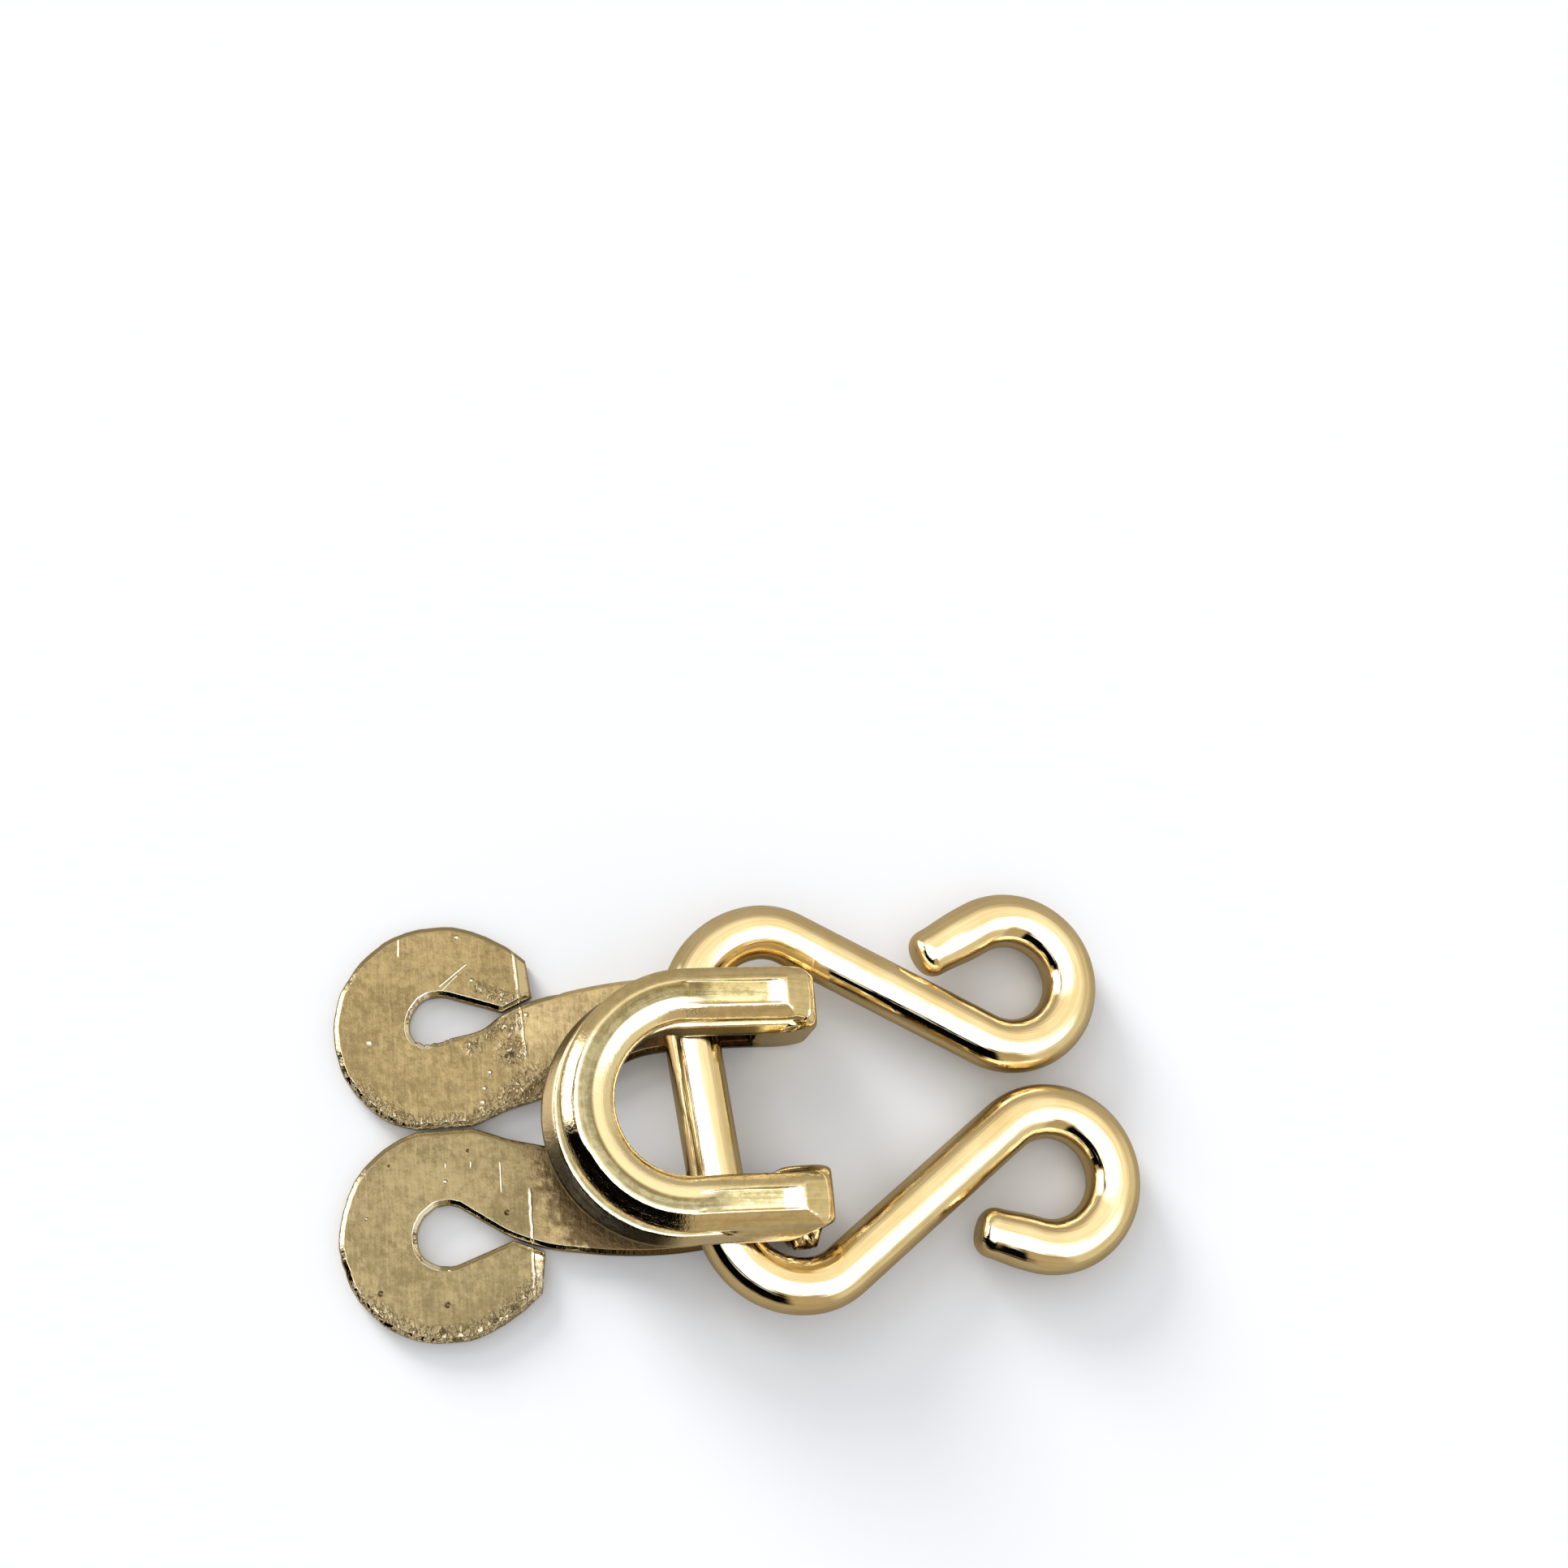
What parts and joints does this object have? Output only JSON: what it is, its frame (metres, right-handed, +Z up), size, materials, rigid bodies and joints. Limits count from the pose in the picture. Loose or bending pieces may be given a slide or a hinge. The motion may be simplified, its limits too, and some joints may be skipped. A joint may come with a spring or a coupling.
{
  "type": "hook fastener",
  "caption": "Sew-on wire hook and eye for a fur or coat, fastened: flat curled tabs and a raised U-shaped bill on the hook, a straight bar with wide bends and open curls on the eye.",
  "frame": {"origin": "middle of the pair's outline, on the surface that it lies on", "axes": "+X from the hook's sewing tabs to the eye's curls, +Y across, +Z up away from the surface"},
  "size_m": [0.0288, 0.0148, 0.0046],
  "materials": {
    "hook_metal": "gold-coloured, pressed matte on the tabs and strips, polished on the bill",
    "eye_metal": "gold-coloured, polished"
  },
  "bodies": {
    "root": {"hook": "hook_metal", "eye": "eye_metal"}
  },
  "joints": []
}
